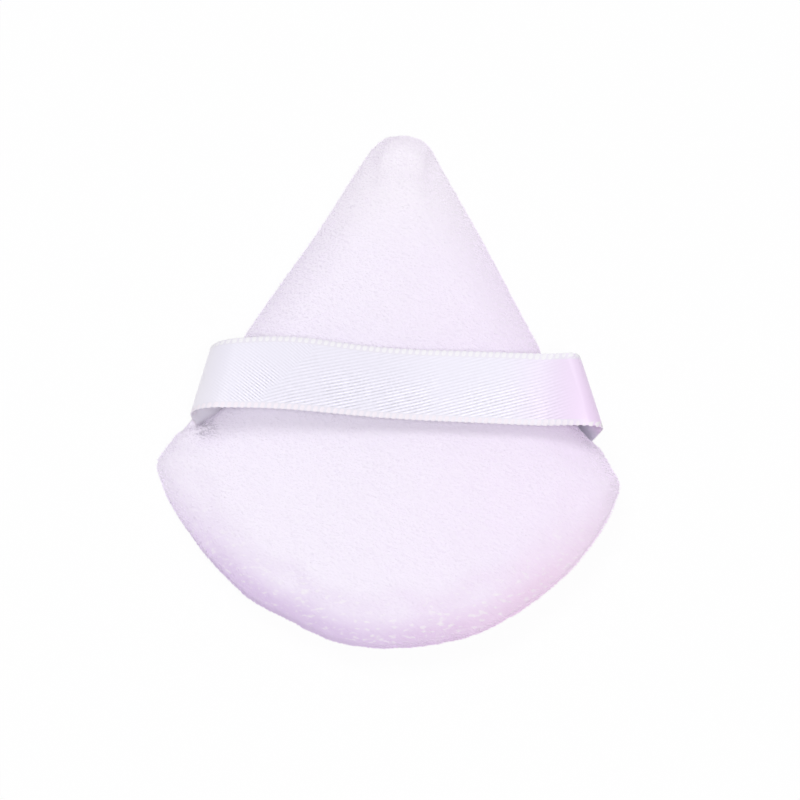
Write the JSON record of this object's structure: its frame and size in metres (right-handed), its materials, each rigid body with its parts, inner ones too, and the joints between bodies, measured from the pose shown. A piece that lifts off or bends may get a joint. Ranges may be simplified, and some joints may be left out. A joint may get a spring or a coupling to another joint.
{
  "type": "powder puff",
  "caption": "Triangular velour powder puff with rounded corners, a soft sponge core and a satin finger ribbon looped across its back.",
  "frame": {"origin": "on the rest face, under the middle of the puff's length and width", "axes": "+Y from the rounded base to the apex, +Z from the working face up to the ribbon, +X to the right"},
  "size_m": [0.072, 0.083, 0.0175],
  "materials": {
    "velour": "short raised pile, matt",
    "sponge": "open foam",
    "satin_ribbon": "satin weave with picot edges",
    "sewing_thread": "twisted polyester"
  },
  "bodies": {
    "pad": {"back_cover": "velour", "sponge_core": "sponge", "seam_needle_thread": "sewing_thread", "seam_bobbin_thread": "sewing_thread", "closing_thread": "sewing_thread", "right_ribbon_tail": "satin_ribbon", "left_ribbon_tail": "satin_ribbon"},
    "face": {"face_cover": "velour"},
    "ribbon_loops": {"right_ribbon_loop": "satin_ribbon", "left_ribbon_loop": "satin_ribbon"},
    "ribbon_span": {"ribbon_span": "satin_ribbon"}
  },
  "joints": [
    {"name": "ribbon_swing", "type": "hinge", "parent": "pad", "child": "ribbon_loops", "pos_m": [0, -0.0025, 0.006], "axis": [1, 0, 0], "range_deg": [-15, 15], "stiffness_Nm_per_rad": 0.0002},
    {"name": "ribbon_lift", "type": "slide", "parent": "ribbon_loops", "child": "ribbon_span", "axis": [0, 0, 1], "range_m": [0, 0.008]},
    {"name": "face_press", "type": "slide", "parent": "pad", "child": "face", "axis": [0, 0, 1], "range_m": [0, 0.004], "stiffness_N_per_m": 500, "deforming": ["face_cover", "sponge_core"]}
  ]
}
